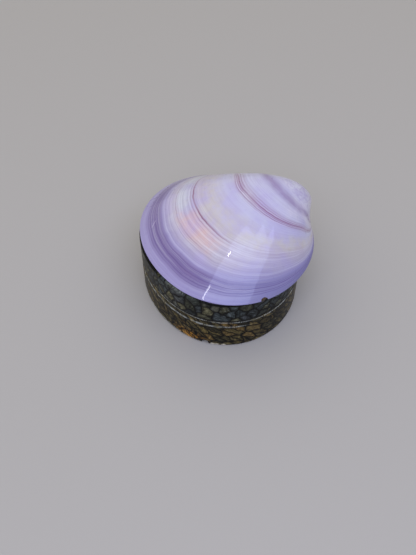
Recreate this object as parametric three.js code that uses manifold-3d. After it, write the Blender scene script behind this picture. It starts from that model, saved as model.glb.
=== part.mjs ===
// A trinket box: a polished clam valve on a low shell-clad box, its lid lifted off by hand.
// Millimetres, +Z up, origin under the middle of the footprint, the valve's beak towards +Y.
import * as THREE from 'three';
import { mergeVertices } from 'three/addons/utils/BufferGeometryUtils.js';
import Module from 'manifold-3d';

const wasm = await Module();
wasm.setup();

// ---- driving dimensions -------------------------------------------------

const gap = 0.3;                 // left between pieces that touch

// Valve and box share one outline: a round, a little longer along one axis, with blunt corners.
const oval = { depth: 1.8, axis: 18 };       // mm, degrees from +X
const corner = { depth: 0.7, axis: 83 };

// The valve grew as a spiral: each growth line is its edge, shrunk and turned about the beak.
const valve = {
  middle: [0.3, -2.9],
  radius: 39.7,
  beak: [4.1, 37.9],
  growth: 1.22,                              // shrinking, as a power of e for each radian
  lastTurn: 2.7,                             // radians from the edge to the beak
  lines: 15,                                 // growth lines modelled
};

// The box is smaller than the valve and set forward, so the beak overhangs it.
const box = {
  middle: [1.0, -6.4],
  radius: 37.0,
  seam: 19,                                  // height at which the lid lifts off
  rim: 33,                                   // height at which the valve sits
  floor: 3,
  wall: 4.4,
  lidWall: 3.0,
  lipHeight: 3.2,
  lipThickness: 1.0,
};

const skin = { thickness: 1.2, edge: 0.8 };  // the shell mosaic, and the rounding of its edges

// The hollow of the valve is a smaller spiral, which starts inside the ring under it.
const hollow = { inset: 3.8, beakSetBack: 3.0, growth: 1.25, lastTurn: 2.2, lines: 10 };

// Two small breaks, each at a direction in degrees from +X.
const rimChip = { direction: -8, long: 3.2, deep: 1.9, high: 2.2 };
const footChip = { direction: -42, long: 2.6, deep: 1.0, high: 3.4 };

const around = 60;               // points round each outline

// ---- outlines -------------------------------------------------------------

const radians = THREE.MathUtils.degToRad;

/** How far an outline lies from its middle in the direction `angle`. */
function reach(radius, angle) {
  return radius
    + oval.depth * Math.cos(2 * (angle - radians(oval.axis)))
    + corner.depth * Math.cos(3 * (angle - radians(corner.axis)));
}

/** The point of an outline in the direction `angle`. */
function outlinePoint({ middle, radius }, angle) {
  const out = reach(radius, angle);
  return [middle[0] + out * Math.cos(angle), middle[1] + out * Math.sin(angle)];
}

/** One growth line: the outline of `shape`, shrunk and turned by `turn` about its beak. */
function growthLine(shape, turn) {
  const [beakX, beakY] = shape.beak;
  const shrink = Math.exp(-shape.growth * turn);
  const line = [];
  for (let i = 0; i < around; i += 1) {
    const [x, y] = outlinePoint(shape, (2 * Math.PI * i) / around);
    const ahead = shrink * (y - beakY);
    line.push([
      beakX + shrink * (x - beakX),
      beakY + ahead * Math.cos(turn),
      box.rim - ahead * Math.sin(turn),
    ]);
  }
  return line;
}

// ---- bodies ---------------------------------------------------------------

/** A profile of [inset from the box's outer face, height] pairs, turned and pressed to the outline. */
function pressed(profile) {
  const points = profile.map(([inset, z]) => new THREE.Vector2(box.radius - inset, z));
  const geometry = new THREE.LatheGeometry(points, around);
  geometry.rotateX(Math.PI / 2);
  const position = geometry.getAttribute('position');
  for (let i = 0; i < position.count; i += 1) {
    const x = position.getX(i);
    const y = position.getY(i);
    const radius = Math.hypot(x, y);
    const onAxis = radius < 1e-4;
    const [newX, newY] = onAxis ? box.middle : outlinePoint({ ...box, radius }, Math.atan2(y, x));
    position.setX(i, newX);
    position.setY(i, newY);
  }
  return geometry;
}

/** A closed body through a list of closed lines, drawn to a point at both ends. */
function skinned(lines) {
  const vertices = lines.flat(2);
  const faces = [];
  for (let row = 0; row + 1 < lines.length; row += 1) {
    for (let i = 0; i < around; i += 1) {
      const here = row * around + i;
      const next = row * around + ((i + 1) % around);
      faces.push(here, here + around, next, next, here + around, next + around);
    }
  }
  for (const row of [0, lines.length - 1]) {
    const tip = vertices.length / 3;
    for (let axis = 0; axis < 3; axis += 1) {
      vertices.push(lines[row].reduce((sum, point) => sum + point[axis], 0) / around);
    }
    for (let i = 0; i < around; i += 1) {
      const here = row * around + i;
      const next = row * around + ((i + 1) % around);
      faces.push(...(row === 0 ? [here, next, tip] : [next, here, tip]));
    }
  }
  const geometry = new THREE.BufferGeometry();
  geometry.setAttribute('position', new THREE.Float32BufferAttribute(vertices, 3));
  geometry.setIndex(faces);
  return geometry;
}

/** A geometry as a solid that can be cut. */
function solid(geometry) {
  const bare = geometry.clone();
  bare.deleteAttribute('normal');
  bare.deleteAttribute('uv');
  const merged = mergeVertices(bare, 1e-4);
  return new wasm.Manifold(new wasm.Mesh({
    numProp: 3,
    vertProperties: new Float32Array(merged.getAttribute('position').array),
    triVerts: new Uint32Array(merged.getIndex().array),
  }));
}

/** Takes a small egg-shaped bite out of a geometry, on an outline at height z. */
function chipped(geometry, chip, shape, z) {
  const bite = new THREE.SphereGeometry(0.5, 10, 7);
  bite.scale(chip.deep * 2, chip.long, chip.high);
  bite.rotateZ(radians(chip.direction));
  bite.translate(...outlinePoint(shape, radians(chip.direction)), z);
  const cut = solid(geometry).subtract(solid(bite)).getMesh();
  const result = new THREE.BufferGeometry();
  result.setAttribute('position', new THREE.BufferAttribute(cut.vertProperties, 3));
  result.setIndex(new THREE.BufferAttribute(cut.triVerts, 1));
  return result;
}

// ---- pieces ---------------------------------------------------------------

const coreInset = skin.thickness + gap;      // from the mosaic's face to the wood behind it

/** The black-lacquered wooden box: floor, wall, and the lip that keeps the lid in place. */
function baseBody() {
  const inside = coreInset + box.wall;
  const lipOutside = inside - box.lipThickness;
  const top = box.seam - gap / 2;
  const lipTop = box.seam + box.lipHeight;
  return pressed([
    [box.radius, 0],
    [coreInset, 0],
    [coreInset, top],
    [lipOutside, top],
    [lipOutside, lipTop],
    [inside, lipTop],
    [inside, box.floor],
    [box.radius, box.floor],
  ]);
}

/** The wooden ring under the valve, which fits over the lip of the base. */
function lidRing() {
  const inside = coreInset + box.lidWall;
  const bottom = box.seam + gap / 2;
  const top = box.rim - gap;
  return pressed([
    [coreInset, bottom],
    [coreInset, top],
    [inside, top],
    [inside, bottom],
    [coreInset, bottom],
  ]);
}

/** A skin of shell mosaic round the box, its outer edges rounded off. */
function mosaicSkin(bottom, top) {
  const { thickness, edge } = skin;
  const shoulder = edge * 0.3;               // where the rounding crosses 45 degrees
  return pressed([
    [edge, bottom],
    [shoulder, bottom + shoulder],
    [0, bottom + edge],
    [0, top - edge],
    [shoulder, top - shoulder],
    [edge, top],
    [thickness, top],
    [thickness, bottom],
    [edge, bottom],
  ]);
}

/** The valve: its outer face from the beak down to the ground rim, then the hollow back up. */
function clamShell() {
  const cavity = { ...box, radius: box.radius - hollow.inset, growth: hollow.growth };
  const [, back] = outlinePoint(cavity, Math.PI / 2);
  cavity.beak = [valve.beak[0], back + hollow.beakSetBack];
  const lines = [];
  for (let i = valve.lines; i >= 0; i -= 1) {
    lines.push(growthLine(valve, valve.lastTurn * (i / valve.lines) ** 1.3));
  }
  for (let i = 0; i <= hollow.lines; i += 1) {
    lines.push(growthLine(cavity, hollow.lastTurn * (i / hollow.lines) ** 1.3));
  }
  return skinned(lines);
}

// ---- the model ------------------------------------------------------------

const lacquer = new THREE.MeshStandardMaterial({ color: 0x15120f, roughness: 0.25, metalness: 0 });
const warmMosaic = new THREE.MeshStandardMaterial({ color: 0x5d5336, roughness: 0.15, metalness: 0 });
const coolMosaic = new THREE.MeshStandardMaterial({ color: 0x545a50, roughness: 0.15, metalness: 0 });
const valveShell = new THREE.MeshStandardMaterial({ color: 0xb9a9cf, roughness: 0.1, metalness: 0 });

const shellBox = new THREE.Group();

function add(name, geometry, material) {
  const mesh = new THREE.Mesh(geometry, material);
  mesh.name = name;
  shellBox.add(mesh);
}

const baseSkin = mosaicSkin(gap, box.seam - gap / 2);
const lidSkin = mosaicSkin(box.seam + gap / 2, box.rim - gap);

add('base_body', baseBody(), lacquer);
add('base_mosaic', chipped(baseSkin, footChip, box, gap), warmMosaic);
add('lid_ring', lidRing(), lacquer);
add('lid_mosaic', lidSkin, coolMosaic);
add('clam_shell', chipped(clamShell(), rimChip, valve, box.rim), valveShell);

export default shellBox;
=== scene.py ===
# %% [markdown]
# # A shell trinket box
# The box is a polished purple clam valve on a low box clad in crackled shell. Its sizes and
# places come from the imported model, which is loaded first and never changed. Each step below
# models one piece by hand tools, or mixes one finish, and says why it is done that way.

# %% Load the frame
import math
import random

import bpy
from mathutils import Matrix, Vector, noise


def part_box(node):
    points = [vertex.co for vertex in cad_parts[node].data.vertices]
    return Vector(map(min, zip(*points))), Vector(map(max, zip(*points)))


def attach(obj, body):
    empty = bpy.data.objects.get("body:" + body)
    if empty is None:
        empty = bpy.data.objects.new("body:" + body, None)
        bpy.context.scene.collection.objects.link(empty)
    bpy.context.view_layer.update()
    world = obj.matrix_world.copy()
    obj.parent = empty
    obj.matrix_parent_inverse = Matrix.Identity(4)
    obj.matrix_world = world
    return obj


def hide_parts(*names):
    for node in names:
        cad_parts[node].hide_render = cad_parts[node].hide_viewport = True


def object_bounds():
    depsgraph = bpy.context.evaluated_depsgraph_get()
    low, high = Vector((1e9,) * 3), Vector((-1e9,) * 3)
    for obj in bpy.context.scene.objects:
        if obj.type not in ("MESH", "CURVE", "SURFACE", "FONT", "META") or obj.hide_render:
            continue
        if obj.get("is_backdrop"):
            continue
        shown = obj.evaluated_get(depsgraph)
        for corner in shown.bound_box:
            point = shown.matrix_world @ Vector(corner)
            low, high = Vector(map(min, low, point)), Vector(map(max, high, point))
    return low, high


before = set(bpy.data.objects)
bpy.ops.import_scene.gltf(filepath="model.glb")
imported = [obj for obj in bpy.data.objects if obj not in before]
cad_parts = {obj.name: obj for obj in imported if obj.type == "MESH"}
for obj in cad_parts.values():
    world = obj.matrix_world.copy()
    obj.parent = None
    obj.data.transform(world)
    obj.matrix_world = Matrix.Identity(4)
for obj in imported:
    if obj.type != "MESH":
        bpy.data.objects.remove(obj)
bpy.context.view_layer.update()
MM = 0.001
bpy.context.scene.view_settings.view_transform = "Standard"
print("nodes:", sorted(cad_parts))

# %% [markdown]
# ## Camera
# The camera looks down on the box from its front right, a forearm's length away. A lens of
# 42 mm on a 36 mm sensor gives the mild perspective of a close look. The box stands above and
# left of the middle of the view, so the camera aims a little in front of it, to its right.

# %% Camera
AIM = Vector((9.2, -17.9, 20.0)) * MM
AZIMUTH = math.radians(59.1)
ELEVATION = math.radians(53.0)
DISTANCE = 0.3003
LENS = 42.16                   # focal length, in mm

away = Vector((math.sin(AZIMUTH) * math.cos(ELEVATION),
               -math.cos(AZIMUTH) * math.cos(ELEVATION),
               math.sin(ELEVATION)))
camera = bpy.data.objects.new("camera", bpy.data.cameras.new("camera"))
camera.data.lens = LENS
camera.data.clip_start = 0.01
camera.location = AIM + away * DISTANCE
camera.rotation_euler = away.to_track_quat("Z", "Y").to_euler()
bpy.context.scene.collection.objects.link(camera)
bpy.context.scene.camera = camera
print("camera at", [round(c, 3) for c in camera.location])

# %% [markdown]
# ## Helpers
# Colours are easiest to choose as the hex values of a paint chart, but shaders add up light, so
# one function turns a hex value to linear light. A second function adds any shader node with
# its settings and links, which keeps each material short enough to read as a recipe.

# %% Colours and shader nodes


def linear(hex_colour):
    """The linear RGBA of an sRGB hex colour."""
    channels = [int(hex_colour[i:i + 2], 16) / 255 for i in (0, 2, 4)]
    return [c / 12.92 if c <= 0.04045 else ((c + 0.055) / 1.055) ** 2.4 for c in channels] + [1.0]


def add_node(tree, kind, inputs=None, **settings):
    """A new node. An input is a value, or the (node, output) pair that it is linked to."""
    node = tree.nodes.new("ShaderNode" + kind)
    for name, value in settings.items():
        setattr(node, name, value)
    for key, value in (inputs or {}).items():
        if isinstance(value, tuple) and isinstance(value[0], bpy.types.Node):
            tree.links.new(value[0].outputs[value[1]], node.inputs[key])
        else:
            node.inputs[key].default_value = value
    return node


def new_material(name):
    """A material with only its output node, and its node tree."""
    material = bpy.data.materials.new(name)
    material.use_nodes = True
    tree = material.node_tree
    tree.nodes.clear()
    return material, tree, tree.nodes.new("ShaderNodeOutputMaterial")


def maths(tree, operation, first, second=0.0):
    """The result of a sum on one or two values or (node, output) pairs."""
    return add_node(tree, "Math", {0: first, 1: second}, operation=operation), "Value"


print("lavender in linear light:", [round(c, 3) for c in linear("b9a9cf")])

# %% Selecting and naming


def select_only(piece):
    """Leaves edit mode and selects one object alone."""
    if bpy.context.object and bpy.context.object.mode == "EDIT":
        bpy.ops.object.mode_set(mode="OBJECT")
    bpy.ops.object.select_all(action="DESELECT")
    if piece:
        piece.select_set(True)
        bpy.context.view_layer.objects.active = piece


def pick(piece, test):
    """Selects, in edit mode, the vertices that pass the test."""
    bpy.ops.object.mode_set(mode="EDIT")
    bpy.ops.mesh.select_mode(type="VERT")
    bpy.ops.mesh.select_all(action="DESELECT")
    bpy.ops.object.mode_set(mode="OBJECT")
    for vertex in piece.data.vertices:
        vertex.select = test(vertex)
    bpy.ops.object.mode_set(mode="EDIT")


def report(piece):
    """Prints how many faces a piece has and how large it is."""
    size = [round(side / MM, 1) for side in piece.dimensions]
    print(piece.name, len(piece.data.polygons), "faces", size, "mm")


select_only(None)
print("selected:", len(bpy.context.selected_objects), "objects")

# %% [markdown]
# ## The outline
# Seen from above, the valve and the box share one outline: a circle, a little longer along one
# axis, with three blunt corners. Two cosines on a radius describe it, so a circle of points can
# be pressed to it in one pass. The same numbers drive the imported model.

# %% The outline
AROUND = 240
OVAL, OVAL_AXIS = 1.8 * MM, math.radians(18)
CORNER, CORNER_AXIS = 0.7 * MM, math.radians(83)
VALVE_MIDDLE, VALVE_RADIUS = Vector((0.3, -2.9)) * MM, 39.7 * MM
BOX_MIDDLE, BOX_RADIUS = Vector((1.0, -6.4)) * MM, 37.0 * MM
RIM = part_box("clam_shell")[0].z
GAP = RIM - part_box("lid_ring")[1].z


def reach(radius, angle):
    """How far the outline lies from its middle in one direction."""
    oval = OVAL * math.cos(2 * (angle - OVAL_AXIS))
    return radius + oval + CORNER * math.cos(3 * (angle - CORNER_AXIS))


def outline_point(middle, radius, angle, z):
    out = reach(radius, angle)
    return Vector((middle.x + out * math.cos(angle), middle.y + out * math.sin(angle), z))


def press_to_outline(piece, middle, radius, test, old_middle=None):
    """Moves the vertices that pass the test onto an outline, each in its own direction."""
    old_middle = old_middle or middle
    for vertex in piece.data.vertices:
        if test(vertex):
            angle = math.atan2(vertex.co.y - old_middle.y, vertex.co.x - old_middle.x)
            vertex.co = outline_point(middle, radius, angle, vertex.co.z)


# %% [markdown]
# ## Polished clam shell
# The valve is calcium carbonate in thin layers, ground and buffed to a high gloss. Its colour
# follows the growth lines, so the shader works out two angles about the beak from the object's
# own coordinates: the turn, which is constant along a growth line, and the side angle, which
# runs along it. A painted image could hold the same bands, but numbers stay sharp at any size.

# %% Growth angles
BEAK = Vector((4.1, 37.9, RIM / MM)) * MM


def growth_angles(tree):
    """The turn about the hinge axis and the side angle away from it, both seen from the beak."""
    place = add_node(tree, "TexCoord"), "Object"
    from_beak = add_node(tree, "VectorMath", {0: place, 1: BEAK}, operation="SUBTRACT"), "Vector"
    axes = add_node(tree, "SeparateXYZ", {0: from_beak})
    ahead = maths(tree, "MULTIPLY", (axes, "Y"), -1.0)
    turn = maths(tree, "ARCTAN2", (axes, "Z"), ahead)
    squares = maths(tree, "MULTIPLY", (axes, "Y"), (axes, "Y"))
    squares = maths(tree, "ADD", squares, maths(tree, "MULTIPLY", (axes, "Z"), (axes, "Z")))
    side = maths(tree, "ARCTAN2", (axes, "X"), maths(tree, "SQRT", squares))
    return turn, side


print("beak at", [round(c / MM, 1) for c in BEAK])

# %% [markdown]
# ## Ramps and noises
# A colour ramp holds at most 32 stops, so the broad bands have one ramp, and the thin lines have
# two, each over its own stretch of the turn. Noise that is drawn out along the growth lines
# gives the fine ones, and soft round noise gives the clouds. Near the hinge the lines crowd
# together, which a little stretching of the turn gives.

# %% Ramps over the turn
RAMP_END = 2.4                 # turn at the last stop, in radians


def ranged(tree, value, low, high, to_low=0.0, to_high=1.0):
    """A value moved from one range to another, and held to it."""
    ends = {"Value": value, "From Min": low, "From Max": high, "To Min": to_low, "To Max": to_high}
    return add_node(tree, "MapRange", ends), "Result"


def colour_ramp(tree, place, stops):
    """A colour ramp from (place, colour) stops."""
    ramp = add_node(tree, "ValToRGB", {"Fac": place})
    elements = ramp.color_ramp.elements
    elements.remove(elements[1])
    for number, (at, colour) in enumerate(stops):
        stop = elements[0] if number == 0 else elements.new(at)
        stop.position = at
        stop.color = colour
    return ramp, "Color"


def turn_ramp(tree, turn, stops):
    """A colour ramp over the turn. It spends more of its length near the edge."""
    share = maths(tree, "POWER", maths(tree, "DIVIDE", turn, RAMP_END), 0.5)
    return colour_ramp(tree, share, [(math.sqrt(at / RAMP_END), colour) for at, colour in stops])


def line_ramp(tree, turn, start, end, lines):
    """Black, a grey as strong as the line, and black again for each thin line."""
    stops = [(0.0, linear("000000"))]
    for at, before, after, strength in lines:
        for place, grey in ((at - before, 0.0), (at, strength), (at + after, 0.0)):
            stops.append(((place - start) / (end - start), (grey, grey, grey, 1.0)))
    return colour_ramp(tree, ranged(tree, turn, start, end), stops)


print("the bands run over", round(math.degrees(RAMP_END)), "degrees of turn")

# %% Noises and mixes


def stretched_noise(tree, turn, side, along, across, detail=2.0, roughness=0.5):
    """Noise drawn out along the growth lines: `along` and `across` are its steps per radian."""
    place = add_node(tree, "CombineXYZ", {
        "X": maths(tree, "MULTIPLY", side, along),
        "Y": maths(tree, "MULTIPLY", turn, across),
        "Z": across * 0.37,
    }), "Vector"
    inputs = {"Vector": place, "Scale": 1.0, "Detail": detail, "Roughness": roughness}
    return add_node(tree, "TexNoise", inputs), "Fac"


def cloud_noise(tree, size, seed):
    """Soft clouds of about this size, in metres, in the object's own space."""
    place = add_node(tree, "TexCoord"), "Object"
    moved = add_node(tree, "VectorMath", {0: place, 1: (seed, 0, 0)}, operation="ADD"), "Vector"
    inputs = {"Vector": moved, "Scale": 1 / size, "Detail": 3.0, "Roughness": 0.55}
    return add_node(tree, "TexNoise", inputs), "Fac"


def mixed(tree, factor, first, second):
    """Two colours mixed by a factor."""
    return add_node(tree, "Mix", {0: factor, 6: first, 7: second}, data_type="RGBA"), 2


def product(tree, *values):
    """All the values multiplied together."""
    result = values[0]
    for value in values[1:]:
        result = maths(tree, "MULTIPLY", result, value)
    return result


def crowded_turn(tree, turn, side):
    """The turn, stretched towards both sides, where growth lines run together, and unsteady."""
    right = maths(tree, "MAXIMUM", maths(tree, "SUBTRACT", side, 0.70), 0.0)
    left = maths(tree, "MINIMUM", maths(tree, "ADD", side, 0.40), 0.0)
    stretch = maths(tree, "ADD", product(tree, right, right, 3.2), product(tree, left, left, 1.2))
    grown = maths(tree, "MULTIPLY", turn, maths(tree, "ADD", stretch, 1.0))
    for along, across, much in ((2.2, 3.0, 0.011), (9.0, 7.0, 0.004), (30.0, 20.0, 0.0012)):
        shift = ranged(tree, stretched_noise(tree, turn, side, along, across), 0.0, 1.0, -much, much)
        grown = maths(tree, "ADD", grown, shift)
    return maths(tree, "MAXIMUM", grown, 0.0)


print("milk white in linear light:", [round(c, 3) for c in linear("d3d4e0")])

# %% [markdown]
# ## Bands, clouds and lines
# The layers are laid as they lie in the shell: broad bands first, then peach, cold white and
# cream where the growth was slow, then violet and milky clouds inside the polish. The fine
# lines come over them, and last the dark lines where growth stopped for a season.

# %% The broad bands
LILAC = "9e95c4"
VIOLET = "77669e"
PEARL = "c8bfcc"
MILK = "c6c4e0"
ROSE = "b09ab8"
HAZE = "b4aed4"
# The turn at which each tone stands, from the margin to the beak. The ramp blends between them.
BANDS = (
    (0.00, LILAC), (0.03, LILAC), (0.055, VIOLET), (0.10, VIOLET), (0.12, LILAC),
    (0.18, PEARL), (0.32, PEARL), (0.50, MILK), (0.55, MILK), (0.60, ROSE),
    (0.68, MILK), (0.78, MILK), (0.92, HAZE), (1.02, MILK), (1.60, MILK),
)


def banded(tree, grown, edge_of, small_cloud):
    """The bands, with peach in front on the third, cold white to its left and cream inside it."""
    colour = turn_ramp(tree, grown, [(at, linear(tone)) for at, tone in BANDS])
    third = product(tree, ranged(tree, grown, 0.165, 0.205), ranged(tree, grown, 0.300, 0.262))
    front = product(tree, ranged(tree, edge_of, -0.30, -0.16), ranged(tree, edge_of, 0.22, 0.06))
    colour = mixed(tree, product(tree, third, front, 0.75), colour, linear("dfb8ae"))
    cold = product(tree, third, ranged(tree, edge_of, -0.20, -0.38), 0.7)
    colour = mixed(tree, cold, colour, linear("c9d0de"))
    cream = product(tree, ranged(tree, grown, 0.300, 0.325), ranged(tree, grown, 0.50, 0.40))
    cream = product(tree, cream, ranged(tree, small_cloud, 0.36, 0.62), 0.62)
    return mixed(tree, cream, colour, linear("ccc4b6"))


print(len(set(tone for at, tone in BANDS)), "tones at", len(BANDS), "places")

# %% The clouds and the right side
RIGHT_SIDE = (0.16, 0.55)      # side angles between which the right side begins


def clouded(tree, colour, grown, side, cloud, small_cloud):
    """Violet and milky clouds; on the right side, bluer and darker towards the edge, partly the shell's
    colour and partly painted shade, and milkier at the beak.
    """
    inside = ranged(tree, grown, 0.10, 0.16)
    violet = product(tree, ranged(tree, cloud, 0.46, 0.70, 0.0, 0.55), inside)
    colour = mixed(tree, violet, colour, linear("b5a8dd"))
    milk = product(tree, ranged(tree, cloud, 0.46, 0.28, 0.0, 0.45), inside)
    colour = mixed(tree, milk, colour, linear("d3d4e0"))
    right = ranged(tree, side, *RIGHT_SIDE)
    # Bluer and darker on the right: partly the shell's own colour, partly painted shade.
    bluer_and_shaded = product(tree, right, ranged(tree, grown, 0.34, 0.08), 0.70)
    colour = mixed(tree, bluer_and_shaded, colour, linear("8282b4"))
    milky = product(tree, right, ranged(tree, grown, 0.62, 0.74), ranged(tree, small_cloud, 0.3, 0.6))
    colour = mixed(tree, product(tree, milky, 0.55), colour, linear("e6dfec"))
    # Darkest at the very edge on the right: partly a darker growth edge, partly painted shade.
    dark_edge_and_shade = product(tree, ranged(tree, side, 0.50, 0.90), ranged(tree, grown, 0.07, 0.01), 0.60)
    return mixed(tree, dark_edge_and_shade, colour, linear("5f5a84"))


print("the right side begins at", [round(math.degrees(a)) for a in RIGHT_SIDE], "degrees")

# %% The fine and the dark growth lines
# Thin lines: turn, half width before it, half width after it, strength.
VIOLET_LINES = (
    (0.045, 0.003, 0.004, 0.50), (0.056, 0.003, 0.004, 0.62), (0.066, 0.002, 0.002, 0.35),
    (0.077, 0.003, 0.004, 0.85), (0.088, 0.002, 0.003, 0.40), (0.099, 0.002, 0.003, 0.40),
    (0.129, 0.002, 0.002, 0.20), (0.150, 0.002, 0.002, 0.22), (0.171, 0.002, 0.002, 0.30),
)
ROSE_LINES = (
    (0.187, 0.003, 0.003, 0.50), (0.200, 0.002, 0.002, 0.24), (0.274, 0.003, 0.004, 0.48),
    (0.291, 0.004, 0.009, 0.95), (0.318, 0.003, 0.004, 0.16), (0.578, 0.005, 0.005, 0.50),
    (0.593, 0.004, 0.004, 0.60), (0.607, 0.006, 0.010, 0.75), (0.628, 0.004, 0.005, 0.55),
    (0.650, 0.004, 0.005, 0.40),
)
# How strongly the fine lines show at each turn.
FINE_LINES = ((0.00, 0.12), (0.05, 0.22), (0.07, 0.50), (0.11, 0.30), (0.14, 0.40), (0.20, 0.48),
              (0.32, 0.50), (0.36, 0.14), (0.54, 0.15), (0.57, 0.75), (0.66, 0.45), (0.75, 0.25),
              (1.40, 0.30))


def lined(tree, colour, turn, grown, side, patchy):
    """Fine light and dark growth lines, then the violet and rose lines of the growth stops."""
    show = turn_ramp(tree, grown, [(at, (much, much, much, 1.0)) for at, much in FINE_LINES])
    broad = stretched_noise(tree, grown, side, 1.4, 60.0, 3.0, 0.6)
    fine = stretched_noise(tree, grown, side, 2.2, 210.0, 2.0, 0.7)
    for tones, low, high, much, tone in ((broad, 0.50, 0.66, 0.50, "e6e4f0"),
                                         (broad, 0.50, 0.34, 0.42, "93809f"),
                                         (fine, 0.52, 0.70, 0.42, "f0eef6"),
                                         (fine, 0.50, 0.32, 0.40, "8d7598")):
        factor = product(tree, ranged(tree, tones, low, high, 0.0, much), show)
        colour = mixed(tree, factor, colour, linear(tone))
    violet_lines = line_ramp(tree, grown, 0.0, 0.18, VIOLET_LINES)
    colour = mixed(tree, product(tree, violet_lines, patchy), colour, linear("5b4888"))
    rose_lines = line_ramp(tree, grown, 0.17, 0.70, ROSE_LINES)
    to_the_right = ranged(tree, side, 0.05, 0.30, 1.0, 0.1)
    kept = maths(tree, "MAXIMUM", ranged(tree, grown, 0.40, 0.50), to_the_right)
    return mixed(tree, product(tree, rose_lines, patchy, kept), colour, linear("824a70"))


print(len(VIOLET_LINES), "violet lines and", len(ROSE_LINES), "rose lines")

# %% The cap and the scratch
SPECK = 1.1 * MM


def capped(tree, colour, grown, small_cloud, patchy):
    """A diffuse mauve band, and beyond it a white patch with violet specks close to the beak."""
    mauve = product(tree, ranged(tree, grown, 0.80, 0.87), ranged(tree, grown, 0.98, 0.90), patchy, 0.65)
    colour = mixed(tree, mauve, colour, linear("937fab"))
    specks = cloud_noise(tree, SPECK, 11.0)
    cap = product(tree, ranged(tree, grown, 0.98, 1.08), ranged(tree, grown, 1.75, 1.35))
    pale = product(tree, cap, ranged(tree, small_cloud, 0.40, 0.58), 0.65)
    colour = mixed(tree, pale, colour, linear("dcdcea"))
    speckled = product(tree, cap, ranged(tree, specks, 0.48, 0.64), 0.42)
    return mixed(tree, speckled, colour, linear("a48cc8"))


def scratched(tree, colour, turn, side):
    """One old scratch across the dark band."""
    bend = maths(tree, "ADD", side, product(tree, turn, 1.6))
    scratch = ranged(tree, maths(tree, "ABSOLUTE", maths(tree, "ADD", bend, 0.20)), 0.008, 0.003)
    scratch = product(tree, scratch, ranged(tree, turn, 0.058, 0.064), ranged(tree, turn, 0.086, 0.078))
    return mixed(tree, product(tree, scratch, 0.5), colour, linear("c4b8da"))


print("specks of", SPECK / MM, "mm on the cap")

# %% Polished purple clam shell


def clam_shell_material():
    """Buffed shell: a sharp, clear gloss over soft colour that lies a little way down."""
    material, tree, output = new_material("polished purple clam shell")
    turn, side = growth_angles(tree)
    grown = crowded_turn(tree, turn, side)
    cloud = cloud_noise(tree, 11 * MM, 3.0)
    small_cloud = cloud_noise(tree, 4.5 * MM, 7.0)
    edge_of = maths(tree, "ADD", side, ranged(tree, small_cloud, 0.0, 1.0, -0.22, 0.22))
    patchy = ranged(tree, stretched_noise(tree, turn, side, 4.0, 14.0), 0.34, 0.60, 0.60, 1.15)

    colour = banded(tree, grown, edge_of, small_cloud)
    colour = clouded(tree, colour, grown, side, cloud, small_cloud)
    colour = lined(tree, colour, turn, grown, side, patchy)
    colour = capped(tree, colour, grown, small_cloud, patchy)
    colour = scratched(tree, colour, turn, side)
    shader = add_node(tree, "BsdfPrincipled", {
        "Base Color": colour,
        "Roughness": ranged(tree, cloud_noise(tree, 2.4 * MM, 5.0), 0.3, 0.7, 0.26, 0.36),
        "IOR": 1.53,
        "Specular IOR Level": 0.2,
        "Coat Weight": 0.9,
        "Coat Roughness": 0.015,
    })
    tree.links.new(shader.outputs["BSDF"], output.inputs["Surface"])
    return material


clam_shell = clam_shell_material()
print(clam_shell.name, len(clam_shell.node_tree.nodes), "nodes")

# %% [markdown]
# ## Broken faces
# Where a chip has gone, the polish is gone too: broken shell is chalky, with its layers as fine
# steps, and broken resin is dull and grainy. Both are rough, without a coat, so a cut shows at
# once as a break. They are mixed here, because the cutters that make the chips carry them.

# %% Broken shell and resin
LAYER = 1.1 * MM               # real layers are finer, and wouldn't show


def broken_shell_material(name, dark, light):
    """Chalky and unpolished: the layers show as fine steps."""
    material, tree, output = new_material(name)
    place = add_node(tree, "TexCoord"), "Object"
    grain = add_node(tree, "TexNoise", {"Vector": place, "Scale": 1 / LAYER, "Detail": 4.0})
    colour = mixed(tree, ranged(tree, (grain, "Fac"), 0.35, 0.65), linear(dark), linear(light))
    bump = add_node(tree, "Bump", {"Height": (grain, "Fac"), "Strength": 0.5, "Distance": 0.2 * MM})
    shader = add_node(tree, "BsdfPrincipled", {
        "Base Color": colour, "Roughness": 0.75, "Normal": (bump, "Normal"),
    })
    tree.links.new(shader.outputs["BSDF"], output.inputs["Surface"])
    return material


def resin_material():
    """The black resin that beds the flakes, seen where it has broken: dull and grainy."""
    material, tree, output = new_material("broken black resin")
    grain = cloud_noise(tree, 0.9 * MM, 4.0)
    colour = mixed(tree, ranged(tree, grain, 0.4, 0.7), linear("0c0b0a"), linear("2a2620"))
    bump = add_node(tree, "Bump", {"Height": grain, "Strength": 0.6, "Distance": 0.2 * MM})
    shader = add_node(tree, "BsdfPrincipled", {
        "Base Color": colour, "Roughness": 0.55, "Normal": (bump, "Normal"),
    })
    tree.links.new(shader.outputs["BSDF"], output.inputs["Surface"])
    return material


broken_shell = broken_shell_material("broken clam shell", "6a5836", "a8946a")
pale_shell = broken_shell_material("pale broken flake", "a39a80", "d6cfb9")
dark_resin = resin_material()
print(broken_shell.name, "and", dark_resin.name)

# %% [markdown]
# ## The valve
# A clam adds shell at its edge and turns as it grows, so each growth line is the edge, shrunk
# and turned about the beak. That is exactly what a modeller does by extruding an edge loop and
# then scaling and rotating it about one fixed point, again and again. The steps are short near
# the edge, where the valve is wide. At three ages growth stopped for a while, which leaves a
# shallow step, made by shrinking a little more there. The hollow is a smaller spiral that
# starts from the flat ground rim.

# %% The spiral
GROWTH = 1.22                  # shrinking, as a power of e for each radian of turn
LAST_TURN = 2.7
GROWTH_STEPS = 96
STOPS = ((0.062, 0.0012), (0.290, 0.0024), (0.600, 0.0018))   # turn, depth as a share of the reach


def stop_depth(turn):
    """How much the growth stops up to this turn have narrowed the valve."""
    return sum(depth / (1 + math.exp((at - turn) / 0.006)) for at, depth in STOPS)


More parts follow.
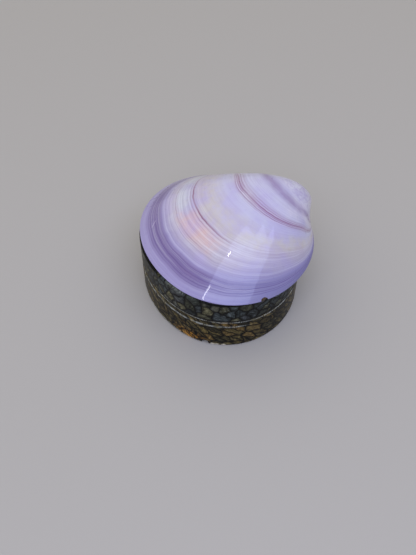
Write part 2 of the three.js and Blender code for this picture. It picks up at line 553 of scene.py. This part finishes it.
def grow(beak, growth, last_turn, steps):
    """Extrudes the selected loop along the spiral and closes it at the beak."""
    before = 0.0
    for step in range(1, steps + 1):
        turn = last_turn * (step / steps) ** 1.3
        shrink = math.exp(-growth * (turn - before)) * (1 - stop_depth(turn) + stop_depth(before))
        bpy.ops.mesh.extrude_region_move()
        bpy.ops.transform.resize(value=(shrink,) * 3, center_override=beak)
        bpy.ops.transform.rotate(value=turn - before, orient_axis="X", center_override=beak)
        before = turn
    bpy.ops.mesh.merge(type="CENTER")


print("one growth step near the edge:", round(78 * (LAST_TURN * (1 / GROWTH_STEPS) ** 1.3), 2), "mm")

# %% The valve's outer face


def new_circle(name, vertices, middle, radius, z, fill="NOTHING"):
    """A circle of points pressed to the outline, as a piece whose origin is the world's."""
    select_only(None)
    bpy.ops.mesh.primitive_circle_add(vertices=vertices, radius=radius, fill_type=fill)
    piece = bpy.context.object
    piece.name = name
    for vertex in piece.data.vertices:
        angle = math.atan2(vertex.co.y, vertex.co.x)
        vertex.co = outline_point(middle, radius, angle, z)
    return piece


valve = new_circle("clam_valve", AROUND, VALVE_MIDDLE, VALVE_RADIUS, RIM)
valve.data.materials.append(clam_shell)
pick(valve, lambda vertex: True)
grow(BEAK, GROWTH, LAST_TURN, GROWTH_STEPS)
select_only(valve)
outer_count = len(valve.data.vertices)
report(valve)

# %% [markdown]
# ## Hand-ground unevenness
# A wheel never leaves a surface perfectly even, and a mirror gloss shows it: the window's image
# wavers. Each vertex moves along its normal by a tenth of a millimetre at most, from smooth
# noise, and not at all at the rim, which has to stay flat.

# %% Waves a hand would leave
WAVE, WAVE_DEPTH = 16 * MM, 0.10 * MM


def unevenness(place):
    """How far buffing has taken the surface down or left it up at a place."""
    return WAVE_DEPTH * noise.noise(place / WAVE) + WAVE_DEPTH / 3 * noise.noise(place / WAVE * 3.1)


normals = [vertex.normal.copy() for vertex in valve.data.vertices]
for vertex, normal in zip(valve.data.vertices, normals):
    fade = min(1.0, (vertex.co.z - RIM) / (3 * MM))
    vertex.co += normal * unevenness(vertex.co) * fade
print("uneven by up to", round(max(abs(unevenness(v.co)) for v in valve.data.vertices) / MM, 3), "mm")

# %% [markdown]
# ## The rim and the hollow
# The rim is ground flat to sit on the box. It is extruded from the valve's edge, pressed inwards
# to the outline of the hollow, and the hollow then grows by the same spiral as the outside.
# A small bevel takes the sharpness off the edge, so it catches a thin line of light.

# %% The ground rim and the hollow
HOLLOW_RADIUS = BOX_RADIUS - 3.8 * MM
HOLLOW_GROWTH = 1.25
HOLLOW_TURN, HOLLOW_STEPS = 2.2, 40
RIM_BEVEL = 0.35 * MM
hollow_back = outline_point(BOX_MIDDLE, HOLLOW_RADIUS, math.pi / 2, RIM).y
hollow_beak = Vector((BEAK.x, hollow_back + 3.0 * MM, RIM))

pick(valve, lambda vertex: vertex.index < AROUND)
bpy.ops.mesh.extrude_region_move()
bpy.ops.object.mode_set(mode="OBJECT")
press_to_outline(valve, BOX_MIDDLE, HOLLOW_RADIUS, lambda vertex: vertex.select, VALVE_MIDDLE)
pick(valve, lambda vertex: outer_count <= vertex.index < outer_count + AROUND)
grow(hollow_beak, HOLLOW_GROWTH, HOLLOW_TURN, HOLLOW_STEPS)
pick(valve, lambda vertex: vertex.index < AROUND)
bpy.ops.mesh.bevel(offset=RIM_BEVEL, segments=3, affect="EDGES")
bpy.ops.mesh.select_all(action="SELECT")
bpy.ops.mesh.remove_doubles(threshold=0.002 * MM)
bpy.ops.mesh.normals_make_consistent(inside=False)
select_only(valve)
report(valve)

# %% [markdown]
# ## Chips
# A knock has taken a small flake out of the valve's edge, and another out of the foot of the
# base. A break in shell is a shallow, uneven scoop, so each is cut with a round whose points
# are shifted at random, by a Boolean. The cutter carries the look of the broken face with it.

# %% A cutter for chips


def chip(piece, place, size, direction, face, seed):
    """Scoops a small uneven bite out of a piece. size is its depth, length and height."""
    select_only(None)
    bpy.ops.mesh.primitive_ico_sphere_add(subdivisions=3, radius=0.5)
    cutter = bpy.context.object
    cutter.data.materials.append(face)
    bpy.ops.object.mode_set(mode="EDIT")
    bpy.ops.mesh.select_all(action="SELECT")
    bpy.ops.transform.vertex_random(offset=0.05, uniform=0.4, seed=seed)
    bpy.ops.object.mode_set(mode="OBJECT")
    cutter.scale = size
    cutter.rotation_euler.z = direction
    cutter.location = place
    bpy.ops.object.transform_apply()
    select_only(piece)
    bpy.ops.object.modifier_add(type="BOOLEAN")
    piece.modifiers["Boolean"].operation = "DIFFERENCE"
    piece.modifiers["Boolean"].object = cutter
    piece.modifiers["Boolean"].material_mode = "TRANSFER"
    bpy.ops.object.modifier_apply(modifier="Boolean")
    bpy.data.objects.remove(cutter)
    print("chip in", piece.name, "at", [round(c / MM, 1) for c in place])


# %% The chip in the rim
RIM_CHIP = math.radians(-8)
chip(valve, outline_point(VALVE_MIDDLE, VALVE_RADIUS, RIM_CHIP, RIM),
     (4.0 * MM, 3.4 * MM, 2.6 * MM), RIM_CHIP, broken_shell, 3)
report(valve)

# %% Smooth shading


def shade_smooth(piece, degrees=35):
    """Smooth faces, with a crisp line where two meet at more than this angle."""
    select_only(piece)
    bpy.ops.object.shade_smooth_by_angle(angle=math.radians(degrees))


shade_smooth(valve)
print(sum(face.use_smooth for face in valve.data.polygons), "smooth faces")

# %% [markdown]
# ## The mosaic
# Thin flakes of dark shell are pressed into black resin on the wood, where they crack into
# small plates, and a thick clear lacquer is polished over them. The skin is a ring with rounded
# edges, drawn as loops that are extruded upwards and then pressed to the outline. Each point
# of the ring finds its nearest flake, and keeps how far the next joint is and one random number
# of that flake. The shader paints the flakes from those, and the lacquer sinks a little over
# each joint, as it does when it dries.

# %% Flakes
SKIN, EDGE = 1.2 * MM, 0.8 * MM
FLAKE_HEIGHT = 5.6 * MM
EMPTY_SQUARES = 0.10           # share of the squares that start no flake
SKIN_AROUND = 720
SKIN_STEP = 0.36 * MM
SINK = 0.06 * MM
noise.seed_set(11)             # without a seed, noise_vector differs from run to run


def flake_grid(girth, height, flake_width, shuffle, split):
    """A grid whose squares hold no, one or a few jittered points, one for each flake."""
    columns, rows = round(girth / flake_width), max(2, round(height / FLAKE_HEIGHT))
    wide, high = girth / columns, height / rows
    grid = []
    for row in range(rows):
        line = []
        for column in range(columns):
            share = split(column / columns)
            count = 1 if shuffle.random() > share else shuffle.choice((2, 3))
            if shuffle.random() < EMPTY_SQUARES:
                count = 0
            line.append([((column + 0.5 * (row % 2) + shuffle.uniform(0.06, 0.94)) * wide,
                          (row + shuffle.uniform(0.10, 0.90)) * high,
                          shuffle.random(), shuffle.random()) for _ in range(count)])
        grid.append(line)
    return grid, wide, high


def nearest_flake(grid, wide, high, girth, along, up):
    """Distance to the nearest joint, and the two random numbers of the flake."""
    columns = len(grid[0])
    found = []
    row_here, column_here = int(up // high), int(along // wide)
    for row in range(max(0, row_here - 2), min(len(grid), row_here + 3)):
        for step in (-3, -2, -1, 0, 1, 2):
            for flake in grid[row][(column_here + step) % columns]:
                across = (flake[0] - along + girth / 2) % girth - girth / 2
                found.append((across * across + (flake[1] - up) ** 2, across, flake))
    found.sort(key=lambda item: item[0])
    square, across, flake = found[0]
    joint = 1.0
    for other_square, other_across, other in found[1:7]:
        apart = math.hypot(other_across - across, other[1] - flake[1])
        joint = min(joint, (other_square - square) / (2 * apart))
    return joint, flake[2], flake[3]


print("flakes up to", FLAKE_HEIGHT / MM, "mm high, their joints sunk by", SINK / MM, "mm")

# %% [markdown]
# ## The skin and its ledge
# The skin's section is a tall strip with rounded corners. Near the top of the base the lacquer
# steps in along a wavy ledge, which dies out on the right and begins again at the back. Light
# and shade are painted along the arrises and the ledge: pale lines of painted highlight, and
# black painted shadow where the seam and the valve's margin shade the mosaic.

# %% The skin's profile


def skin_profile(bottom, top):
    """Inset and height of each loop: round the foot, up the face, round the top."""
    turns = [math.radians(a) for a in (0, 15, 30, 45, 60, 75, 90)]
    foot = [(EDGE * (1 - math.sin(a)), bottom + EDGE * (1 - math.cos(a))) for a in turns]
    steps = round((top - bottom - 2 * EDGE) / SKIN_STEP)
    face = [(0.0, bottom + EDGE + (top - bottom - 2 * EDGE) * n / steps) for n in range(1, steps)]
    head = [(EDGE * (1 - math.cos(a)), top - EDGE * (1 - math.sin(a))) for a in turns]
    return [(SKIN, bottom)] + foot + face + head + [(SKIN, top)]


print("loops on the base's skin:", len(skin_profile(0.3 * MM, 18.85 * MM)))

# %% The ledge and the arrises
LEDGE_DROP, LEDGE_SWING, LEDGE_WAVES = 3.4 * MM, 0.35 * MM, 9
UNDER_CHIP = -3.1              # degrees: where the chip in the rim uncovers the lid
FADES_OUT, FADES_IN = math.radians(-14), math.radians(145)   # middles of the two fades
FADE = math.radians(16)


def ledge_edge(angle, top):
    """The height of the wavy ledge."""
    around = Vector((math.cos(angle), math.sin(angle), 0)) * LEDGE_WAVES
    return top - LEDGE_DROP + LEDGE_SWING * noise.noise(around)


def ledge_fade(angle):
    """The ledge dies out on the right of the front and starts again at the back."""
    away = angle - FADES_IN if angle > math.pi / 3 else FADES_OUT - angle
    return min(1.0, max(0.0, 0.5 + away / FADE))


def ledge_inset(depth, angle, z, top):
    """How far the face steps in above the ledge."""
    return depth * ledge_fade(angle) / (1 + math.exp((ledge_edge(angle, top) - z) / (0.09 * MM)))


def near(value, middle, half):
    """1 at the middle, falling smoothly to almost nothing beyond the half width."""
    return math.exp(-(((value - middle) / half) ** 2))


def lid_painted_shadow_and_highlight(angle, z, bottom, top):
    """The lid's arrises: painted shadow (below 0) along the bottom and the top, but a painted highlight
    (above 0) at the top on the left.
    """
    left = near(math.degrees(angle), -66, 17)
    under_chip = near(math.degrees(angle), UNDER_CHIP, 3.5)
    # Along the top: painted shadow under the valve's margin, a painted highlight on the left, and
    # neither under the chip.
    upper = near(z, top, 1.6 * MM) * (1.6 * left - 1) * (1 - under_chip)
    # Along the bottom: painted shadow from the seam.
    return upper - near(z, bottom, 1.8 * MM)


def base_painted_highlights_and_shadow(angle, z, bottom, top):
    """The base's arrises: painted highlights just below the top, along the ledge and at the left foot,
    and painted seam shadow on the top itself.
    """
    left = near(math.degrees(angle), -85, 30)
    # A painted highlight along the ledge, where the ledge shows.
    ledge_highlight = near(z, ledge_edge(angle, top), 0.28 * MM) * ledge_fade(angle)
    # A painted highlight along the foot on the left.
    foot = 1.5 * left * near(z, bottom + 0.9 * MM, 0.55 * MM)
    # A painted highlight just below the top, and painted seam shadow on the top itself.
    return near(z, top - 0.42 * MM, 0.24 * MM) - near(z, top, 0.20 * MM) + ledge_highlight + foot


print("the ledge lies", LEDGE_DROP / MM, "mm below the seam")

# %% A mosaic skin
BEND, BEND_SIZE = 1.0 * MM, 2.6 * MM       # how far joints wander, and over what length


def mosaic_skin(name, node, arris, ledge, slant, flake_width, split, seed):
    """The ring of mosaic that stands for a CAD node, with its flakes worked out."""
    bottom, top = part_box(node)[0].z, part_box(node)[1].z
    profile = skin_profile(bottom, top)
    piece = new_circle(name, SKIN_AROUND, BOX_MIDDLE, BOX_RADIUS, bottom)
    pick(piece, lambda vertex: True)
    for _ in profile[1:]:
        bpy.ops.mesh.extrude_region_move()
    bpy.ops.object.mode_set(mode="OBJECT")

    girth = 2 * math.pi * BOX_RADIUS
    path = [0.0]
    for (inset, z), (next_inset, next_z) in zip(profile, profile[1:]):
        path.append(path[-1] + math.hypot(next_inset - inset, next_z - z))
    grid, wide, high = flake_grid(girth, path[-1], flake_width, random.Random(seed), split)
    shares = {"joint": [], "tint": [], "grain": [], "arris": [], "amber": []}
    for vertex in piece.data.vertices:
        row = vertex.index // SKIN_AROUND
        inset, z = profile[row]
        angle = math.atan2(vertex.co.y - BOX_MIDDLE.y, vertex.co.x - BOX_MIDDLE.x)
        place = outline_point(BOX_MIDDLE, BOX_RADIUS, angle, z)
        bend = noise.noise_vector(place / BEND_SIZE + Vector((seed, 0, 0)))
        along = ((angle / (2 * math.pi)) * girth + slant * path[row] + BEND * bend.x) % girth
        up = min(max(path[row] + BEND * bend.y, 0.0), path[-1] - 0.001 * MM)
        joint, tint, grain = nearest_flake(grid, wide, high, girth, along, up)
        if 0 < row < len(profile) - 1:
            inset += ledge_inset(ledge, angle, z, top) + SINK * near(joint, 0.0, 0.25 * MM)
        vertex.co = outline_point(BOX_MIDDLE, BOX_RADIUS - inset, angle, z)
        stain = near(math.degrees(angle), -54, 9) * near(z, 2.5 * MM, 3.5 * MM)
        stain += 0.25 * near(math.degrees(angle), UNDER_CHIP, 3.0) * near(z, RIM, 2.0 * MM)
        # The fourth value is painted light and shade on the arrises: above 0 a painted highlight, below
        # 0 painted shadow.
        values = (joint / MM, tint, grain, arris(angle, z, bottom, top), stain)
        for key, value in zip(shares, values):
            shares[key].append(value)
    for attribute, values in shares.items():
        piece.data.attributes.new(attribute, "FLOAT", "POINT").data.foreach_set("value", values)

    last = len(piece.data.vertices) - SKIN_AROUND
    pick(piece, lambda vertex: vertex.index < SKIN_AROUND or vertex.index >= last)
    bpy.ops.mesh.bridge_edge_loops()
    bpy.ops.mesh.select_all(action="SELECT")
    bpy.ops.mesh.normals_make_consistent(inside=False)
    select_only(piece)
    report(piece)
    return piece


base_skin = mosaic_skin("base_shell_mosaic", "base_mosaic", base_painted_highlights_and_shadow, 0.42 * MM, 0.85, 4.2 * MM,
                        lambda turn: 0.35, 5)
lid_skin = mosaic_skin("lid_shell_mosaic", "lid_mosaic", lid_painted_shadow_and_highlight, 0.0, 0.0, 5.0 * MM,
                       lambda turn: 0.05 if turn > 0.78 else 0.75, 8)

# %% [markdown]
# ## Cracked shell under lacquer
# Each flake is dark nacre: grey, olive or bronze, lighter in its middle, with fine streaks of
# its own direction. The joints are black resin. Lacquer goes over both, so it is the coat of
# the shader, which keeps the smooth outside of the ring while the flakes below tilt.

# %% Cracked shell mosaic
JOINT_WIDTH = 0.34             # in mm, as the joint attribute is
STREAKS_PER_METRE = (1 / (0.38 * MM), 1 / (2.4 * MM), 1 / (2.4 * MM))
CRACK_APART = 1.8 * MM
GRAIN_SWING = 6.28             # spread of the directions of the grain, in radians


def mosaic_material(name, tones, bright_tone, highlight_tone):
    """Dark nacre in black resin: deep, streaked flakes below one smooth, wet gloss."""
    material, tree, output = new_material(name)
    joint = add_node(tree, "Attribute", attribute_name="joint"), "Fac"
    tint = add_node(tree, "Attribute", attribute_name="tint"), "Fac"
    grain = add_node(tree, "Attribute", attribute_name="grain"), "Fac"
    # Painted light and shade on the arrises: above 0 highlight, below 0 shadow.
    arris = add_node(tree, "Attribute", attribute_name="arris"), "Fac"
    amber = add_node(tree, "Attribute", attribute_name="amber"), "Fac"
    place = add_node(tree, "TexCoord"), "Object"

    spread = [(number / (len(tones) - 1), linear(tone)) for number, tone in enumerate(tones)]
    colour = colour_ramp(tree, tint, spread)
    angle = maths(tree, "MULTIPLY", grain, GRAIN_SWING)
    turned = add_node(tree, "VectorRotate", {"Vector": place, "Axis": (0.6, -0.5, 0.6), "Angle": angle})
    long_way = add_node(tree, "VectorMath", {0: (turned, "Vector"), 1: STREAKS_PER_METRE},
                        operation="MULTIPLY")
    streak_noise = {"Vector": (long_way, "Vector"), "Scale": 1.0, "Detail": 3.0}
    streaks = add_node(tree, "TexNoise", streak_noise), "Fac"
    cloud = cloud_noise(tree, 2.2 * MM, 2.0)

    # Each flake is lighter in its middle, streaked, and here and there it flashes.
    middle = ranged(tree, joint, 0.05, 1.15, 0.25, 1.55)
    light = product(tree, middle, ranged(tree, streaks, 0.28, 0.72, 0.35, 2.20),
                    ranged(tree, cloud, 0.30, 0.70, 0.35, 2.10))
    gold = product(tree, amber, ranged(tree, streaks, 0.32, 0.62), 0.9)
    colour = mixed(tree, gold, colour, linear("96661d"))
    lit = add_node(tree, "VectorMath", {0: colour, "Scale": light}, operation="SCALE"), "Vector"
    flash = product(tree, ranged(tree, streaks, 0.53, 0.70), ranged(tree, grain, 0.40, 1.0),
                    ranged(tree, joint, 0.2, 0.9), 0.75)
    colour = mixed(tree, flash, lit, linear(bright_tone))

    width = ranged(tree, cloud, 0.3, 0.7, JOINT_WIDTH * 0.5, JOINT_WIDTH * 1.5)
    in_joint = add_node(tree, "MapRange", {"Value": joint, "From Min": width, "From Max": 0.0,
                                           "To Min": 0.0, "To Max": 2.2}), "Result"
    colour = mixed(tree, in_joint, colour, linear("090808"))

    # Finer cracks inside the flakes.
    cracks = add_node(tree, "TexVoronoi", {"Vector": place, "Scale": 1 / CRACK_APART, "Randomness": 1.0},
                      feature="DISTANCE_TO_EDGE"), "Distance"
    crack = product(tree, ranged(tree, cracks, 0.07, 0.0), ranged(tree, cloud, 0.42, 0.60), 0.75)
    colour = mixed(tree, crack, colour, linear("0b0a09"))

    # On an arris the resin is bare, or the lacquer is rubbed thin and the pale shell shows.
    # Along the arrises: black painted shadow, and pale, patchy lines of painted highlight.
    shadow_mask = ranged(tree, arris, -0.25, -0.75)
    colour = mixed(tree, shadow_mask, colour, linear("060606"))
    broken = ranged(tree, cloud_noise(tree, 5.0 * MM, 9.0), 0.36, 0.60, 0.15, 1.0)
    highlight_mask = product(tree, ranged(tree, arris, 0.1, 0.9), ranged(tree, streaks, 0.32, 0.54), broken)
    colour = mixed(tree, highlight_mask, colour, linear(highlight_tone))

    tilt = add_node(tree, "Bump", {"Height": streaks, "Strength": 0.40, "Distance": 0.2 * MM})
    shader = add_node(tree, "BsdfPrincipled", {
        "Base Color": colour,
        "Roughness": ranged(tree, streaks, 0.3, 0.7, 0.30, 0.55),
        "Normal": (tilt, "Normal"),
        "Specular IOR Level": 0.0,
        "Coat Weight": 0.35,
        "Coat Roughness": 0.03,
        "Coat IOR": 1.42,
    })
    tree.links.new(shader.outputs["BSDF"], output.inputs["Surface"])
    return material


# The last tone of each mosaic is the colour of its painted highlights.
cool_mosaic = mosaic_material("cool cracked shell mosaic",
                              ("171a1a", "2c3233", "1e2019", "413f2e", "282b2d", "35331f", "202628"),
                              "7c8486", "8c8f80")
warm_mosaic = mosaic_material("warm cracked shell mosaic",
                              ("19170e", "352e1b", "232218", "453c22", "242114", "3c3622", "46371c"),
                              "8b7d58", "b4b8b2")
base_skin.data.materials.append(warm_mosaic)
lid_skin.data.materials.append(cool_mosaic)
shade_smooth(base_skin)
shade_smooth(lid_skin)
print("mosaic shader:", len(cool_mosaic.node_tree.nodes), "nodes")

# %% [markdown]
# ## The breaks at the foot
# At the front of the foot one flake has broken out down to the black resin, and beside it two
# thin slivers have split off and left pale shell. The cutter is the one that chipped the rim.

# %% The foot's chips
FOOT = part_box("base_mosaic")[0].z
FOOT_CHIP = math.radians(-42)
SLIVERS = ((-35.0, 4.6, 1.3), (-28.5, 2.4, 1.1))         # direction, length and height, in mm

chip(base_skin, outline_point(BOX_MIDDLE, BOX_RADIUS, FOOT_CHIP, FOOT + 0.3 * MM),
     (3.2 * MM, 3.4 * MM, 5.2 * MM), FOOT_CHIP, dark_resin, 6)
for number, (degrees, long, high) in enumerate(SLIVERS):
    direction = math.radians(degrees)
    chip(base_skin, outline_point(BOX_MIDDLE, BOX_RADIUS, direction, FOOT + 0.9 * MM),
         (1.2 * MM, long * MM, high * MM), direction, pale_shell, 20 + number)
shade_smooth(base_skin)
report(base_skin)

# %% [markdown]
# ## The lacquered wood
# Under the mosaic the box is wood, dipped in black lacquer. The base is turned up from a filled
# outline by extrusions and insets: the wall, the lip that keeps the lid in place, and the
# hollow. The lid's ring is the same, open right through. A narrow bevel takes off the edges.

# %% Black lacquer


PORES_PER_METRE = (1 / (1.1 * MM), 1 / (16 * MM), 1 / (1.1 * MM))
DUST = 1.4 * MM


def lacquer_material():
    """Brushed black lacquer: a deep coat over a faint grain, and a little dust."""
    material, tree, output = new_material("black lacquered wood")
    place = add_node(tree, "TexCoord"), "Object"
    stretched = add_node(tree, "VectorMath", {0: place, 1: PORES_PER_METRE}, operation="MULTIPLY")
    grain = add_node(tree, "TexNoise", {"Vector": (stretched, "Vector"), "Scale": 1.0, "Detail": 3.0})
    dust = add_node(tree, "TexNoise", {"Vector": place, "Scale": 1 / DUST, "Detail": 5.0})
    colour = mixed(tree, ranged(tree, (grain, "Fac"), 0.3, 0.7), linear("0d0b0a"), linear("1a1613"))
    colour = mixed(tree, ranged(tree, (dust, "Fac"), 0.60, 0.80, 0.0, 0.30), colour, linear("4a463f"))
    bump = add_node(tree, "Bump", {"Height": (grain, "Fac"), "Strength": 0.10, "Distance": 0.1 * MM})
    shader = add_node(tree, "BsdfPrincipled", {
        "Base Color": colour,
        "Roughness": ranged(tree, (dust, "Fac"), 0.4, 0.8, 0.35, 0.60),
        "Normal": (bump, "Normal"),
        "Coat Weight": 0.5,
        "Coat Roughness": 0.15,
    })
    tree.links.new(shader.outputs["BSDF"], output.inputs["Surface"])
    return material


lacquer = lacquer_material()
print(lacquer.name)

# %% The base
CORE_INSET = SKIN + GAP
WALL = 4.4 * MM
LIP = 1.0 * MM
BASE_FLOOR = 3.0 * MM
LIP_HEIGHT = 3.2 * MM
WOOD_BEVEL = 0.25 * MM


def bevel_edges(piece, width, segments=2):
    """Rounds every edge sharper than 50 degrees."""
    select_only(piece)
    bpy.ops.object.modifier_add(type="BEVEL")
    bevel = piece.modifiers["Bevel"]
    bevel.width = width
    bevel.segments = segments
    bevel.limit_method = "ANGLE"
    bevel.angle_limit = math.radians(50)
    bpy.ops.object.modifier_apply(modifier="Bevel")


def raise_face(height):
    """Extrudes the selected face upwards, or downwards if height is negative."""
    bpy.ops.mesh.extrude_region_move(TRANSFORM_OT_translate={"value": (0, 0, height)})


body_low, body_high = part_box("base_body")
seam = body_high.z - LIP_HEIGHT - GAP / 2
core = new_circle("base_wood", AROUND, BOX_MIDDLE, BOX_RADIUS - CORE_INSET, body_low.z, "NGON")
pick(core, lambda vertex: True)
raise_face(seam)
bpy.ops.mesh.inset(thickness=WALL - LIP)
raise_face(body_high.z - seam)
bpy.ops.mesh.inset(thickness=LIP)
raise_face(BASE_FLOOR - body_high.z)
bpy.ops.mesh.select_all(action="SELECT")
bpy.ops.mesh.normals_make_consistent(inside=False)
bevel_edges(core, WOOD_BEVEL)
core.data.materials.append(lacquer)
shade_smooth(core)
report(core)

# %% The lid's ring
LID_WALL = 3.0 * MM
ring_low, ring_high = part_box("lid_ring")
ring = new_circle("lid_wood", AROUND, BOX_MIDDLE, BOX_RADIUS - CORE_INSET, ring_low.z, "NGON")
pick(ring, lambda vertex: True)
raise_face(ring_high.z - ring_low.z)
select_only(ring)
bpy.ops.object.mode_set(mode="EDIT")
bpy.ops.mesh.select_mode(type="FACE")
bpy.ops.mesh.select_all(action="DESELECT")
bpy.ops.object.mode_set(mode="OBJECT")
for face in ring.data.polygons:
    face.select = abs(face.normal.z) > 0.9
bpy.ops.object.mode_set(mode="EDIT")
bpy.ops.mesh.inset(thickness=LID_WALL)
bpy.ops.mesh.bridge_edge_loops()
bpy.ops.mesh.select_all(action="SELECT")
bpy.ops.mesh.normals_make_consistent(inside=False)
bevel_edges(ring, WOOD_BEVEL)
ring.data.materials.append(lacquer)
shade_smooth(ring)
report(ring)

# %% [markdown]
# ## Joining the model
# The finished pieces stand for the imported nodes, one for one, and ride on the box's one body.

# %% Where each piece belongs
for piece, node, slot in ((valve, "clam_shell", "clam_shell"),
                          (base_skin, "base_mosaic", "warm_mosaic"),
                          (lid_skin, "lid_mosaic", "cool_mosaic"),
                          (core, "base_body", "black_lacquer"),
                          (ring, "lid_ring", "black_lacquer")):
    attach(piece, "root")
    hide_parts(node)
    print(piece.name, "stands for", node)

# %% [markdown]
# ## The studio
# A plain pale floor in a soft room: the room is one glow that is brightest high up on the far
# left and fades towards the right. A window of three panes hangs overhead on the near side.
# Its mirror image is the cool patch on the front of the polished valve. Two small lamps just
# below it give the short streak at the valve's edge and the spark above it.

# %% The floor and the room's glow
BRIGHT_SIDE = Vector((-0.50, -0.18, 0.85)).normalized()


def plain_material(name, tone, roughness):
    """Matt paper or paint: one even tone, for the floor alone."""
    material, tree, output = new_material(name)
    shader = add_node(tree, "BsdfPrincipled", {"Base Color": linear(tone), "Roughness": roughness})
    tree.links.new(shader.outputs["BSDF"], output.inputs["Surface"])
    return material


select_only(None)
bpy.ops.mesh.primitive_plane_add(size=80.0)
floor = bpy.context.object
floor.name = "floor"
floor.data.materials.append(plain_material("pale floor", "b3b0a9", 0.6))
floor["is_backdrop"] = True

world = bpy.data.worlds.new("studio")
bpy.context.scene.world = world
world.use_nodes = True
room = world.node_tree
direction = add_node(room, "TexCoord"), "Generated"
facing = add_node(room, "VectorMath", {0: direction, 1: BRIGHT_SIDE}, operation="DOT_PRODUCT")
glow = ranged(room, (facing, "Value"), -0.5, 1.0, 0.20, 0.90)
room.links.new(glow[0].outputs[glow[1]], room.nodes["Background"].inputs["Strength"])
room.nodes["Background"].inputs["Color"].default_value = linear("fbf7f2")
print("the room is brightest towards", [round(c, 2) for c in BRIGHT_SIDE])

# %% The window and the lamps
WINDOW_HEIGHT, LAMP_HEIGHT = 1.1, 1.05
WINDOW_TURN = math.radians(20)
NEAR_END = -1.15               # a pane runs from here, as a share of the height, to its own far end
PANES = ((-0.02, 0.29, 0.02), (0.30, 0.62, 0.22), (0.63, 0.93, 0.42))   # two sides and far end


def lamp(name, middle, size, radiance, tone, height=WINDOW_HEIGHT):
    """A flat rectangular lamp overhead. Its power follows from its size and its brightness."""
    light = bpy.data.lights.new(name, "AREA")
    light.shape = "RECTANGLE"
    light.size, light.size_y = size
    light.energy = radiance * math.pi * size[0] * size[1]
    light.color = linear(tone)[:3]
    holder = bpy.data.objects.new(name, light)
    holder.rotation_euler.z = WINDOW_TURN
    turned = Matrix.Rotation(WINDOW_TURN, 3, "Z") @ Vector((middle[0], middle[1], 0))
    holder.location = turned + Vector((0.02, -0.01, height))
    bpy.context.scene.collection.objects.link(holder)


for number, (left, right, far_end) in enumerate(PANES):
    middle = Vector((left + right, NEAR_END + far_end)) / 2 * WINDOW_HEIGHT
    size = Vector((right - left, far_end - NEAR_END)) * WINDOW_HEIGHT
    lamp(f"window_pane_{number}", middle, size, 2.3, "c2ceff")
lamp("narrow_lamp", (0.008, -0.97), (0.03, 0.32), 9.0, "ffffff", LAMP_HEIGHT)
lamp("small_lamp", (0.030, -0.36), (0.034, 0.08), 18.0, "ffffff", LAMP_HEIGHT)
print(len(bpy.data.lights), "lamps")

# %% [markdown]
# ## Sizes
# The last cell prints the size of this model's box, in millimetres.

# %% Sizes
low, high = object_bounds()
print("visual size in mm:", [round(side / MM, 1) for side in high - low])
